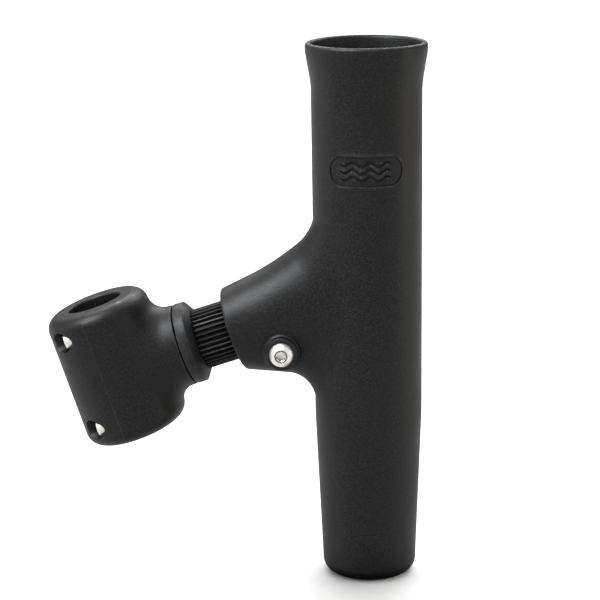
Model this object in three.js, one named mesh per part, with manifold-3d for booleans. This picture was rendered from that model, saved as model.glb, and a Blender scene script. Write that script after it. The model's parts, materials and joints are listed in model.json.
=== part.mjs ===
// Clamp-on rod holder: a moulded rod tube on a sloping arm, carried by a splined stem on a two-piece
// rail clamp. Millimetres, +Z up along the tube. The origin is where the stem's axis crosses the rail
// bore's axis, +X points from the rail to the tube, and Y = 0 is the plane of symmetry.
//
// Most pieces lie on the stem's axis, so they are drawn in a tilted frame: there +X runs out along the
// stem and +Z runs up along the rail bore. The tilted group at the end turns them into place.
import * as THREE from "three";
import { mergeVertices } from "three/addons/utils/BufferGeometryUtils.js";
import Module from "manifold-3d";

// ---- driving dimensions ----
const ARM_TILT = THREE.MathUtils.degToRad(18); // the stem rises this much towards the tube
const GAP = 0.3; // free space between pieces that touch on the real object

const TUBE_X = 118; // tube axis
const TUBE_FOOT_Z = -100; // underside of the tube
const TUBE_LENGTH = 251.6;
const TUBE_FLOOR = 4; // thickness of the tube's floor
const TUBE_DRAIN_R = 6;

const RAIL_BORE_R = 12.8; // closes on a 25.4 mm rail
const CLAMP_HALF_DEPTH = 24.3; // the clamp is an oval about the bore: along the stem
const CLAMP_HALF_WIDTH = 28; // and across
const CLAMP_TOP = 32.1; // along the bore, above the stem axis
const CLAMP_BOTTOM = -31.8;
const CLAMP_EDGE = 6; // rounding of the clamp's top and bottom edges
const PARTING_X = -2.6; // plane where the cap meets the clamp body
const NECK_R = 19.3;
const NECK_FILLET_R = 8.5; // where the neck leaves the clamp, above and below
const NECK_END_X = 33.95; // the stem's collar meets the neck here

const STEM_SHOULDER_X = 39.2; // the collar narrows from here
const STEM_COLLAR_END_X = 42.2;
const STEM_COLLAR_TIP_R = 14.7;
const STEM_END_X = 87;
const SPLINE_TEETH = 36;
const SPLINE_ROOT_R = 13;
const SPLINE_TIP_R = 14.3;
const SPLINE_CLEARANCE = 0.25;
const STEM_CORE_R = 6.9; // moulding core, open towards the tube
const STEM_KEY = 17; // square key between the stem and the neck
const STEM_KEY_DEPTH = 6;

const MOUTH_X = 58.1; // open end of the arm's socket
const SOCKET_END_X = 89;
const CROSS_X = 78.8; // cross bolt through the arm and the stem's ring groove
const CROSS_DROP = 13.3; // how far the cross bolt passes below the stem axis
const CROSS_R = 3.175; // quarter-inch bolt
const BOSS_R = 8.4;
const BOSS_HALF_WIDTH = 21.2; // from the plane of symmetry to either boss face

const SCREW_Y = 20.4; // cap screws, two each side of the rail
const SCREW_Z = 21.9;
const SCREW_MIDDLE_Z = 0.45;
const SCREW_R = 2;
const SCREW_HEAD_R = 3.5;
const SCREW_HEAD_HEIGHT = 4;
const SCREW_SEAT_X = -8.8; // floor of the counterbores in the cap
const SCREW_LENGTH = 16;
const SCREW_KEY = 3;
const SCREW_POCKET_END_X = 7.2; // end of the blind holes in the clamp body
const COUNTERBORE_R = 4.85;
const INSERT_R = 3;
const INSERT_LENGTH = 9;
const WASHER_R = 4.5;
const WASHER_THICKNESS = 0.8;

const ROUND = 48; // sides of the large round shapes
const SMALL_ROUND = 16; // sides of screws and holes

// ---- materials ----
const nylon = () => new THREE.MeshStandardMaterial({ color: 0x1d1d1f, roughness: 0.5, metalness: 0 });
const steel = () => new THREE.MeshStandardMaterial({ color: 0xc6c8ca, roughness: 0.28, metalness: 1 });
const brass = () => new THREE.MeshStandardMaterial({ color: 0xb08d4a, roughness: 0.35, metalness: 1 });

// ---- solids ----
const wasm = await Module();
wasm.setup();

// A closed solid from a closed three.js geometry: positions only, shared vertices merged.
function solid(geometry) {
  const bare = new THREE.BufferGeometry();
  bare.setAttribute("position", geometry.getAttribute("position").clone());
  if (geometry.index) bare.setIndex(geometry.index.clone());
  const merged = mergeVertices(bare, 1e-4);
  const corners = merged.index.array;
  const triangles = [];
  for (let i = 0; i < corners.length; i += 3) {
    const [a, b, c] = [corners[i], corners[i + 1], corners[i + 2]];
    if (a !== b && b !== c && c !== a) triangles.push(a, b, c);
  }
  return new wasm.Manifold(new wasm.Mesh({
    numProp: 3,
    vertProperties: Float32Array.from(merged.getAttribute("position").array),
    triVerts: Uint32Array.from(triangles),
  }));
}

function meshOf(name, shape, material) {
  const { vertProperties, triVerts } = shape.getMesh();
  const geometry = new THREE.BufferGeometry();
  geometry.setAttribute("position", new THREE.BufferAttribute(vertProperties, 3));
  geometry.setIndex(new THREE.BufferAttribute(triVerts, 1));
  geometry.computeVertexNormals();
  const mesh = new THREE.Mesh(geometry, material);
  mesh.name = name;
  return mesh;
}

// A solid of revolution about Z from [radius, z] points that start and end on the axis, lowest first.
function turned(profile, segments = ROUND) {
  const points = profile.map(([r, z]) => new THREE.Vector2(r, z));
  return solid(new THREE.LatheGeometry(points, segments).rotateX(Math.PI / 2));
}

// The same, about X: the profile's second number runs along X.
function turnedAlongX(profile, segments = ROUND) {
  const points = profile.map(([r, x]) => new THREE.Vector2(r, x));
  return solid(new THREE.LatheGeometry(points, segments).rotateX(Math.PI / 2).rotateY(Math.PI / 2));
}

function rodAlongX(radius, fromX, toX, y = 0, z = 0, segments = SMALL_ROUND) {
  const rod = new THREE.CylinderGeometry(radius, radius, toX - fromX, segments);
  return solid(rod.rotateZ(-Math.PI / 2).translate((fromX + toX) / 2, y, z));
}

function rodAlongY(radius, fromY, toY, x, z, segments = SMALL_ROUND) {
  const rod = new THREE.CylinderGeometry(radius, radius, toY - fromY, segments);
  return solid(rod.translate(x, (fromY + toY) / 2, z));
}

function block(fromX, toX, halfY, fromZ, toZ) {
  const box = new THREE.BoxGeometry(toX - fromX, 2 * halfY, toZ - fromZ);
  return solid(box.translate((fromX + toX) / 2, 0, (fromZ + toZ) / 2));
}

// A flat outline in the YZ plane, given as a shape in (y, z), carried along X.
function carriedAlongX(shape, fromX, toX) {
  const geometry = new THREE.ExtrudeGeometry(shape, { depth: toX - fromX, bevelEnabled: false });
  return solid(geometry.rotateX(Math.PI / 2).rotateZ(Math.PI / 2).translate(fromX, 0, 0));
}

// A hexagon prism along Y, with two of its corners up and down the stem.
function hexAlongY(acrossFlats, fromY, toY, x, z) {
  const cornerR = acrossFlats / Math.sqrt(3);
  const prism = new THREE.CylinderGeometry(cornerR, cornerR, toY - fromY, 6).rotateY(Math.PI / 2);
  return solid(prism.translate(x, (fromY + toY) / 2, z));
}

// ---- rod tube ----
const TUBE_WALL_PROFILE = [ // [outer radius, height above the foot]
  [15.8, 0], [18.2, 0.45], [20.1, 1.75], [21.4, 3.7], [21.85, 6], [24.95, 78.5], [25.35, 232], [27.65, 245.8],
  [28, 246.8], [28, 249.6], [27.5, 251], [26.5, TUBE_LENGTH],
];
const TUBE_CAVITY_PROFILE = [ // [inner radius, height above the foot]
  [18.2, TUBE_FLOOR], [18.8, TUBE_FLOOR + 1.5], [21.4, 77.5], [22, 233], [24.5, 246.5], [25.4, TUBE_LENGTH],
  [25.8, TUBE_LENGTH + 4],
];

function tubeOutside() {
  const wall = TUBE_WALL_PROFILE.map(([r, z]) => [r, z + TUBE_FOOT_Z]);
  const top = TUBE_FOOT_Z + TUBE_LENGTH;
  return turned([[0, TUBE_FOOT_Z], ...wall, [0, top]]).translate([TUBE_X, 0, 0]);
}

function tubeCavity() {
  const wall = TUBE_CAVITY_PROFILE.map(([r, z]) => [r, z + TUBE_FOOT_Z]);
  const top = TUBE_FOOT_Z + TUBE_LENGTH + 4;
  const cavity = turned([[0, TUBE_FOOT_Z + TUBE_FLOOR], ...wall, [0, top]]);
  const drain = turned([
    [0, TUBE_FOOT_Z - 1], [TUBE_DRAIN_R, TUBE_FOOT_Z - 1],
    [TUBE_DRAIN_R, TUBE_FOOT_Z + TUBE_FLOOR + 1], [0, TUBE_FOOT_Z + TUBE_FLOOR + 1],
  ], SMALL_ROUND);
  return cavity.add(drain).translate([TUBE_X, 0, 0]);
}

// The arm is a loft of upright rounded sections. Each section spans from a low to a high point in the
// plane of symmetry, in the tilted frame's [x, z], and has a half width along Y.
const ARM_SECTIONS = [
  { low: [MOUTH_X, -18.5], high: [MOUTH_X, 18.3], halfWidth: 18.2 },
  { low: [59, -19.8], high: [59, 19.3], halfWidth: 19.2 },
  { low: [60.2, -20.8], high: [60.2, 20.1], halfWidth: 19.7 },
  { low: [68.8, -24.4], high: [68.1, 21.2], halfWidth: 20 },
  { low: [78.5, -28.4], high: [78.2, 23], halfWidth: 20.4 },
  { low: [82.6, -31.2], high: [87.2, 25], halfWidth: 20.6 },
  { low: [84.9, -36], high: [94.9, 27.5], halfWidth: 20.8 },
  { low: [86, -43], high: [103, 31.4], halfWidth: 21 },
  { low: [88.5, -50], high: [111.5, 38.5], halfWidth: 21.2 },
  { low: [92, -48], high: [116, 38], halfWidth: 19 },
];

function armOutside() {
  const sides = 40;
  const positions = [];
  const indices = [];
  for (const { low, high, halfWidth } of ARM_SECTIONS) {
    for (let i = 0; i < sides; i++) {
      const angle = (2 * Math.PI * i) / sides;
      const up = (1 + Math.sin(angle)) / 2;
      positions.push(
        THREE.MathUtils.lerp(low[0], high[0], up),
        -halfWidth * Math.cos(angle),
        THREE.MathUtils.lerp(low[1], high[1], up),
      );
    }
  }
  const rings = ARM_SECTIONS.length;
  for (let ring = 0; ring < rings - 1; ring++) {
    for (let i = 0; i < sides; i++) {
      const a = ring * sides + i;
      const b = ring * sides + ((i + 1) % sides);
      indices.push(a, a + sides, b, b, a + sides, b + sides);
    }
  }
  for (let i = 1; i < sides - 1; i++) {
    const end = (rings - 1) * sides;
    indices.push(0, i, i + 1);
    indices.push(end, end + i + 1, end + i);
  }
  const geometry = new THREE.BufferGeometry();
  geometry.setAttribute("position", new THREE.Float32BufferAttribute(positions, 3));
  geometry.setIndex(indices);
  return solid(geometry);
}

// Toothed outline about the stem axis. Widths are half angles of a tooth at its root and tip.
function splineShape(rootR, tipR, rootHalf, tipHalf) {
  const pitch = 360 / SPLINE_TEETH;
  const shape = new THREE.Shape();
  for (let tooth = 0; tooth < SPLINE_TEETH; tooth++) {
    const corners = [[rootR, -rootHalf], [tipR, -tipHalf], [tipR, tipHalf], [rootR, rootHalf]];
    corners.forEach(([r, offset], corner) => {
      const angle = THREE.MathUtils.degToRad(tooth * pitch + offset);
      const [y, z] = [r * Math.cos(angle), r * Math.sin(angle)];
      if (tooth === 0 && corner === 0) shape.moveTo(y, z);
      else shape.lineTo(y, z);
    });
  }
  shape.closePath();
  return shape;
}

const NUT_FLATS = 11.1;
const NUT_HEIGHT = 5.6;
const NUT_RING_HEIGHT = 1.8;
const NUT_SEAT_Y = 13;

function rodTube() {
  const socketRoot = SPLINE_ROOT_R + SPLINE_CLEARANCE;
  const socketTip = SPLINE_TIP_R + SPLINE_CLEARANCE;
  const socket = carriedAlongX(splineShape(socketRoot, socketTip, 4.2, 2.8), MOUTH_X - 3, SOCKET_END_X);
  const leadIn = turnedAlongX([
    [0, MOUTH_X - 1], [socketTip + 2, MOUTH_X - 1], [socketTip + 1, MOUTH_X], [socketRoot, MOUTH_X + 1.6],
    [0, MOUTH_X + 1.6],
  ]);
  const bosses = rodAlongY(BOSS_R, -BOSS_HALF_WIDTH, BOSS_HALF_WIDTH, CROSS_X, -CROSS_DROP, 32);
  const boltHole = rodAlongY(CROSS_R + GAP, -30, 30, CROSS_X, -CROSS_DROP);
  const nutPocket = hexAlongY(NUT_FLATS + 2 * GAP, NUT_SEAT_Y, 30, CROSS_X, -CROSS_DROP);
  const arm = armOutside().add(bosses).subtract(socket).subtract(leadIn).subtract(boltHole)
    .subtract(nutPocket);
  const tiltDegrees = -THREE.MathUtils.radToDeg(ARM_TILT);
  const shape = tubeOutside().add(arm.rotate([0, tiltDegrees, 0])).subtract(tubeCavity());
  return meshOf("rod_tube", shape, nylon());
}

// ---- stem, in the tilted frame ----
const STEM_BOLT_R = 3.175;
const STEM_BOLT_HEAD_R = 4.75;
const STEM_BOLT_SEAT_X = 19.9; // recess floor behind the rail bore's wall
const STEM_WASHER_R = 5.7;
const STEM_WASHER_THICKNESS = 1.2;
const STEM_NUT_X = 50;

function stem() {
  const start = NECK_END_X + GAP;
  const key = block(start - STEM_KEY_DEPTH, start + 1, STEM_KEY / 2, -STEM_KEY / 2, STEM_KEY / 2);
  const collar = turnedAlongX([
    [0, start], [NECK_R - 0.6, start], [NECK_R, start + 0.6],
    [NECK_R, STEM_SHOULDER_X], [STEM_COLLAR_TIP_R, STEM_COLLAR_END_X], [0, STEM_COLLAR_END_X],
  ]);
  const teeth = splineShape(SPLINE_ROOT_R, SPLINE_TIP_R, 3.1, 1.7);
  const spline = carriedAlongX(teeth, STEM_COLLAR_END_X - 0.5, STEM_END_X);
  const endChamfer = turnedAlongX([
    [0, STEM_COLLAR_END_X - 1], [SPLINE_TIP_R + 1, STEM_COLLAR_END_X - 1],
    [SPLINE_TIP_R + 1, STEM_END_X - 2.6], [SPLINE_ROOT_R - 0.3, STEM_END_X + 0.2], [0, STEM_END_X + 0.2],
  ]);
  const grooveHalf = CROSS_R + 0.5;
  const grooveR = CROSS_DROP - CROSS_R - 0.4;
  const groove = turnedAlongX([
    [0, CROSS_X - grooveHalf], [SPLINE_TIP_R + 2, CROSS_X - grooveHalf],
    [SPLINE_TIP_R + 2, CROSS_X + grooveHalf], [0, CROSS_X + grooveHalf],
  ]).subtract(rodAlongX(grooveR, CROSS_X - 6, CROSS_X + 6, 0, 0, 48));
  const nutPocket = rodAlongX((NUT_FLATS + 2 * GAP) / Math.sqrt(3), STEM_NUT_X, STEM_NUT_X + 8, 0, 0, 6);
  const core = rodAlongX(STEM_CORE_R, STEM_NUT_X + 7, STEM_END_X + 1, 0, 0, 32);
  const boltHole = rodAlongX(STEM_BOLT_R + GAP, 20, STEM_NUT_X + 1);
  const shape = spline.intersect(endChamfer).add(collar).add(key).subtract(groove).subtract(nutPocket)
    .subtract(core).subtract(boltHole);
  return meshOf("stem", shape, nylon());
}

// ---- rail clamp, in the tilted frame ----
function oval(halfDepth, halfWidth) {
  return new THREE.Shape().absellipse(0, 0, halfDepth, halfWidth, 0, 2 * Math.PI, false, 0);
}

function clampBlock() {
  const geometry = new THREE.ExtrudeGeometry(oval(CLAMP_HALF_DEPTH, CLAMP_HALF_WIDTH), {
    depth: CLAMP_TOP - CLAMP_BOTTOM - 2 * CLAMP_EDGE,
    bevelThickness: CLAMP_EDGE,
    bevelSize: CLAMP_EDGE,
    bevelOffset: -CLAMP_EDGE,
    bevelSegments: 6,
    curveSegments: 32,
  });
  return solid(geometry.translate(0, 0, CLAMP_BOTTOM + CLAMP_EDGE));
}

// The neck's flare is turned about the stem axis and trimmed by an oval, so that it only stands out above
// and below, where the clamp's face is square to the neck.
function neckWithFlare() {
  const flareEndX = CLAMP_HALF_DEPTH + NECK_FILLET_R;
  const profile = [[0, 10], [NECK_R + NECK_FILLET_R, 10]];
  for (let step = 0; step <= 4; step++) {
    const angle = (step / 4) * (Math.PI / 2);
    profile.push([
      NECK_R + NECK_FILLET_R * (1 - Math.sin(angle)), flareEndX - NECK_FILLET_R * Math.cos(angle),
    ]);
  }
  const trim = new THREE.ExtrudeGeometry(oval(flareEndX, NECK_R * 1.25), {
    depth: 60, bevelEnabled: false, curveSegments: 24,
  });
  const flare = turnedAlongX([...profile, [0, flareEndX]]).intersect(solid(trim.translate(0, 0, -30)));
  const neck = turnedAlongX([
    [0, 10], [NECK_R, 10], [NECK_R, NECK_END_X - 0.6], [NECK_R - 0.6, NECK_END_X], [0, NECK_END_X],
  ]);
  return neck.add(flare);
}

function railBore() {
  const bore = new THREE.CylinderGeometry(RAIL_BORE_R, RAIL_BORE_R, 90, ROUND);
  return solid(bore.rotateX(Math.PI / 2));
}

function clampPositions() {
  return [[-1, 1], [-1, -1], [1, 1], [1, -1]].map(([side, level]) => (
    { y: side * SCREW_Y, z: SCREW_MIDDLE_Z + level * SCREW_Z }
  ));
}

function clampBody() {
  const body = clampBlock().intersect(block(PARTING_X + GAP / 2, 40, 40, -40, 40));
  let shape = body.add(neckWithFlare());
  shape = shape.subtract(railBore());
  shape = shape.subtract(rodAlongX(STEM_WASHER_R + GAP, 0, STEM_BOLT_SEAT_X));
  shape = shape.subtract(rodAlongX(STEM_BOLT_R + GAP, 15, 40));
  const keyHalf = STEM_KEY / 2 + GAP;
  shape = shape.subtract(block(NECK_END_X - STEM_KEY_DEPTH - GAP, 40, keyHalf, -keyHalf, keyHalf));
  for (const { y, z } of clampPositions()) {
    shape = shape.subtract(rodAlongX(INSERT_R + GAP, PARTING_X - 1, SCREW_POCKET_END_X, y, z));
  }
  return meshOf("clamp_body", shape, nylon());
}

function clampCap() {
  let shape = clampBlock().intersect(block(-40, PARTING_X - GAP / 2, 40, -40, 40));
  shape = shape.subtract(railBore());
  for (const { y, z } of clampPositions()) {
    shape = shape.subtract(rodAlongX(SCREW_R + GAP, -30, 0, y, z));
    shape = shape.subtract(rodAlongX(COUNTERBORE_R, -30, SCREW_SEAT_X, y, z));
  }
  return meshOf("clamp_cap", shape, nylon());
}

// ---- fasteners ----
// Screws are turned about Z with the shank pointing down from the head's seat at Z = 0.
function socketScrew(name, shankR, length, headR, headHeight, keyFlats) {
  const body = turned([
    [0, -length], [shankR - 0.6, -length], [shankR, -length + 0.8], [shankR, 0], [headR, 0],
    [headR, headHeight - 0.5], [headR - 0.5, headHeight], [0, headHeight],
  ], SMALL_ROUND);
  const key = new THREE.CylinderGeometry(keyFlats / Math.sqrt(3), keyFlats / Math.sqrt(3), 2.8, 6);
  const socket = solid(key.rotateX(Math.PI / 2).translate(0, 0, headHeight - 1.3));
  return meshOf(name, body.subtract(socket), steel());
}

function buttonBolt(name, shankR, length, headR, headHeight, keyFlats) {
  const dome = [];
  for (let step = 0; step <= 5; step++) {
    const angle = (step / 5) * THREE.MathUtils.degToRad(58);
    const rise = headHeight - 0.7;
    dome.push([headR * 0.42 + headR * 0.58 * Math.cos(angle), 0.7 + (rise * Math.sin(angle)) / 0.848]);
  }
  const body = turned([
    [0, -length], [shankR - 0.7, -length], [shankR, -length + 1], [shankR, 0], [headR, 0],
    ...dome, [0, headHeight],
  ], 32);
  const key = new THREE.CylinderGeometry(keyFlats / Math.sqrt(3), keyFlats / Math.sqrt(3), 3, 6);
  const socket = solid(key.rotateX(Math.PI / 2).translate(0, 0, headHeight - 0.9));
  return meshOf(name, body.subtract(socket), steel());
}

function ring(name, outerR, innerR, thickness, material, segments = SMALL_ROUND) {
  const edge = 0.2;
  const body = turned([
    [0, 0], [outerR - edge, 0], [outerR, edge], [outerR, thickness - edge], [outerR - edge, thickness],
    [0, thickness],
  ], segments);
  const hole = new THREE.CylinderGeometry(innerR, innerR, thickness + 2, segments);
  const bore = solid(hole.rotateX(Math.PI / 2).translate(0, 0, thickness / 2));
  return meshOf(name, body.subtract(bore), material);
}

function hexNut(name, acrossFlats, innerR, height) {
  const blank = new THREE.CylinderGeometry(acrossFlats / Math.sqrt(3), acrossFlats / Math.sqrt(3), height, 6);
  const round = turned([
    [0, 0], [acrossFlats / 2, 0], [acrossFlats / 2 + 0.9, 0.6], [acrossFlats / 2 + 0.9, height - 0.6],
    [acrossFlats / 2, height], [0, height],
  ], SMALL_ROUND);
  const hole = new THREE.CylinderGeometry(innerR, innerR, height + 2, SMALL_ROUND);
  const prism = solid(blank.rotateX(Math.PI / 2).rotateZ(Math.PI / 2).translate(0, 0, height / 2));
  const body = prism.intersect(round);
  return meshOf(name, body.subtract(solid(hole.rotateX(Math.PI / 2).translate(0, 0, height / 2))), steel());
}

// ---- assembly ----
const tilted = new THREE.Group();
tilted.rotation.y = -ARM_TILT;
tilted.add(clampBody(), clampCap(), stem());

// Fasteners along the stem axis, their heads towards the cap.
const TO_CAP = -Math.PI / 2; // turns a piece's +Z to the tilted frame's -X
clampPositions().forEach(({ y, z }, index) => {
  const number = index + 1;
  const washer = ring(`cap_washer_${number}`, WASHER_R, SCREW_R + GAP, WASHER_THICKNESS, steel());
  washer.rotation.y = TO_CAP;
  washer.position.set(SCREW_SEAT_X - GAP, y, z);
  const headSeat = SCREW_SEAT_X - 2 * GAP - WASHER_THICKNESS;
  const screw = socketScrew(
    `cap_screw_${number}`, SCREW_R, SCREW_LENGTH, SCREW_HEAD_R, SCREW_HEAD_HEIGHT, SCREW_KEY,
  );
  screw.rotation.y = TO_CAP;
  screw.position.set(headSeat, y, z);
  const insert = ring(`cap_insert_${number}`, INSERT_R, SCREW_R + GAP, INSERT_LENGTH, brass());
  insert.rotation.y = TO_CAP;
  insert.position.set(PARTING_X + GAP + INSERT_LENGTH, y, z);
  tilted.add(washer, screw, insert);
});

const stemWasher = ring("stem_bolt_washer", STEM_WASHER_R, STEM_BOLT_R + GAP, STEM_WASHER_THICKNESS, steel());
stemWasher.rotation.y = TO_CAP;
stemWasher.position.set(STEM_BOLT_SEAT_X - GAP, 0, 0);
const stemHeadSeat = STEM_BOLT_SEAT_X - 2 * GAP - STEM_WASHER_THICKNESS;
const stemBolt = socketScrew("stem_bolt", STEM_BOLT_R, 41, STEM_BOLT_HEAD_R, 4.6, 4.8);
stemBolt.rotation.y = TO_CAP;
stemBolt.position.set(stemHeadSeat, 0, 0);
const stemNut = hexNut("stem_nut", NUT_FLATS, STEM_BOLT_R + GAP, NUT_HEIGHT);
stemNut.rotation.y = TO_CAP;
stemNut.position.set(STEM_NUT_X + GAP + NUT_HEIGHT, 0, 0);
tilted.add(stemWasher, stemBolt, stemNut);

// Cross bolt along Y, its head on the -Y side. A hexagon's corner angle is turned with its pocket.
const CROSS_WASHER_THICKNESS = 1.8;
const crossWasher = ring("cross_bolt_washer", 7.5, CROSS_R + GAP, CROSS_WASHER_THICKNESS, nylon(), 32);
crossWasher.rotation.x = Math.PI / 2;
crossWasher.position.set(CROSS_X, -BOSS_HALF_WIDTH - GAP, -CROSS_DROP);
const crossHeadSeat = -BOSS_HALF_WIDTH - 2 * GAP - CROSS_WASHER_THICKNESS;
const crossBolt = buttonBolt("cross_bolt", CROSS_R, 44, 5.5, 3.4, 4);
crossBolt.rotation.x = Math.PI / 2;
crossBolt.position.set(CROSS_X, crossHeadSeat, -CROSS_DROP);
const crossNut = hexNut("cross_bolt_nut", NUT_FLATS, CROSS_R + GAP, NUT_HEIGHT);
crossNut.rotation.x = Math.PI / 2;
crossNut.position.set(CROSS_X, NUT_SEAT_Y + GAP + NUT_HEIGHT, -CROSS_DROP);
const nutRing = ring("cross_nut_ring", 4.8, CROSS_R + GAP, NUT_RING_HEIGHT, nylon());
nutRing.rotation.x = Math.PI / 2;
nutRing.position.set(CROSS_X, NUT_SEAT_Y + 2 * GAP + NUT_HEIGHT + NUT_RING_HEIGHT, -CROSS_DROP);
tilted.add(crossWasher, crossBolt, crossNut, nutRing);

const rodHolder = new THREE.Group();
rodHolder.add(rodTube(), tilted);

export default rodHolder;
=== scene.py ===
"""Rod holder that clamps on a rail: fine mouldings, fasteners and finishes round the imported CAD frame.

Shapes are worked out in millimetres and become metres when a mesh is made. Pieces on the stem's axis
are drawn in a tilted frame, as in the CAD: there +X runs out along the stem and +Z up along the rail
bore, and tilted() turns them into the part's own frame.
"""
import json
import math

import bpy
import numpy as np
from mathutils import Matrix, Vector

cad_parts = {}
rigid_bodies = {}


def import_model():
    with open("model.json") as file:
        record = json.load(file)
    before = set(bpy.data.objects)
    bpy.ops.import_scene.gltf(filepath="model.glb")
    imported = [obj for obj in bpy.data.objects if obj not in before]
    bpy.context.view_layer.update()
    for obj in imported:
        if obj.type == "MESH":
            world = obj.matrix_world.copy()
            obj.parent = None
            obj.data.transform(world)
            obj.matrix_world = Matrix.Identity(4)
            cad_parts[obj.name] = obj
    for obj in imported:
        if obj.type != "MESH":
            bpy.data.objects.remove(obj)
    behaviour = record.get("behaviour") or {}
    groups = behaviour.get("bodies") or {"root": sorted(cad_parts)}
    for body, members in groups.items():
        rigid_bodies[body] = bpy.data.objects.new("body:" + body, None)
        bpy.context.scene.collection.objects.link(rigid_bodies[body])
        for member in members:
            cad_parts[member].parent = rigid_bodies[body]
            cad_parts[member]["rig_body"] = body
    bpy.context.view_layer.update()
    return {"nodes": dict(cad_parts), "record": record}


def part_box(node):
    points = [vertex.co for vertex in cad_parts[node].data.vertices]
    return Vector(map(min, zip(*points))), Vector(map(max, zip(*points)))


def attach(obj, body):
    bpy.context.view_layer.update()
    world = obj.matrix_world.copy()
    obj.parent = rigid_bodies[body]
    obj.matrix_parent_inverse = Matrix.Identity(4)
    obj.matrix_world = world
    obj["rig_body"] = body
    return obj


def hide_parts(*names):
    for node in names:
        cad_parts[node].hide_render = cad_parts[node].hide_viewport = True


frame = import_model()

# ---- dimensions, in millimetres ----
MM = 0.001
GAP = 0.3  # free space between neighbouring pieces

rail_mount = next(m for m in frame["record"]["mounts"] if m["name"] == "rail_bore")
TILT = math.atan2(-rail_mount["axis"][0], rail_mount["axis"][2])  # rise of the stem's axis, in radians

tube_low, tube_high = (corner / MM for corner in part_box("rod_tube"))
LIP_R = tube_high.y
TUBE_X = tube_high.x - LIP_R
FOOT_Z = tube_low.z
TUBE_LENGTH = tube_high.z - tube_low.z
TUBE_FLOOR = 4
TUBE_FOOT_R = 21.56  # the lower draft's radius at the foot
LOWER_DRAFT = 0.0428  # growth of the radius with height, here and in the next two
UPPER_DRAFT = 0.0028
FLARE_DRAFT = 0.167
BEND_H = 78.5  # height above the foot where the tube's taper eases
FLARE_H = 232.8  # height where the mouth begins to flare
LIP_H = 247.6
LIP_ROUND = 1.6
FOOT_ROUND = 6
DRAIN_R = 6

bolt_low, bolt_high = (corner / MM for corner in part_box("cross_bolt"))
BOLT_X = (bolt_low.x + bolt_high.x) / 2
BOLT_Z = (bolt_low.z + bolt_high.z) / 2
BOLT_R = 3.175
BOSS_R = 8.4
BOSS_HALF_WIDTH = 21.2
BOSS_ROUND = 0.7
BOSS_FILLET = 0.8
NUT_FLATS = 11.1
NUT_SEAT_Y = 13

MOUTH_X = 58.1
SOCKET_END_X = 89
SPLINE_TEETH = 36
SPLINE_ROOT_R = 13
SPLINE_TIP_R = 14.3
SPLINE_CLEARANCE = 0.25
TOOTH_FOOT_DEGREES = 4.0  # from the middle of a tooth to its foot
TOOTH_FLANK_DEGREES = 3.1
SOCKET_WIDER_DEGREES = 1.0

RAIL_BORE_R = 12.8
PARTING_GAP = 0.1
CLAMP_HALF_DEPTH = 24.3
CLAMP_HALF_WIDTH = 28
CLAMP_TOP = 32.1
CLAMP_BOTTOM = -31.8
PARTING_X = -2.6
CLAMP_TOP_ROUND = 6.3
CLAMP_BOTTOM_ROUND = 6.5
NECK_R = 19.3
NECK_END_X = 33.95
NECK_ROUND = 0.5
NECK_FILLET = 8


# ---- frames ----
def tilted(points):
    """Points of the tilted frame, an (n, 3) array in millimetres, in the part's frame."""
    x, y, z = points.T
    c, s = math.cos(TILT), math.sin(TILT)
    return np.stack([x * c - z * s, y, x * s + z * c], axis=1)


def to_tilted(x, z):
    """The tilted frame's x and z of a place in the part's frame."""
    c, s = math.cos(TILT), math.sin(TILT)
    return x * c + z * s, -x * s + z * c


# ---- solids as distance fields: negative inside, in millimetres ----
def both(a, b, radius):
    """Where both a and b are solid, with the edge between them rounded."""
    past_a, past_b = np.maximum(a + radius, 0), np.maximum(b + radius, 0)
    return np.minimum(-radius, np.maximum(a, b)) + np.hypot(past_a, past_b)


def either(a, b, radius):
    """Where a or b is solid, with a fillet between them."""
    short_a, short_b = np.maximum(radius - a, 0), np.maximum(radius - b, 0)
    return np.maximum(radius, np.minimum(a, b)) - np.hypot(short_a, short_b)


def ellipse(x, y, half_x, half_y):
    """About how far a place is outside an ellipse."""
    x_share, y_share = x / half_x, y / half_y
    from_middle = np.hypot(x_share, y_share)
    steepness = np.hypot(x_share / half_x, y_share / half_y)
    return from_middle * (from_middle - 1) / np.maximum(steepness, 1e-4)


def soft_step(t, width):
    """0 below 0 and t above it, turning within about width."""
    return width * np.logaddexp(0, t / width)


def gradient(field, points, reach=0.02):
    """The field's slope along X, Y and Z at each point."""
    slopes = []
    for axis in range(3):
        shift = np.zeros(3)
        shift[axis] = reach
        ahead, behind = points + shift, points - shift
        slopes.append((field(*ahead.T) - field(*behind.T)) / (2 * reach))
    return np.stack(slopes, axis=1)


def spaced(*stretches):
    """Grid lines from (start, stop, step) stretches that follow on each other."""
    lines = [np.arange(start, stop, step) for start, stop, step in stretches]
    lines.append([stretches[-1][1]])
    return np.concatenate(lines)


SETTLING_ROUNDS = 4  # times that a net's points are moved onto the exact surface


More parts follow.
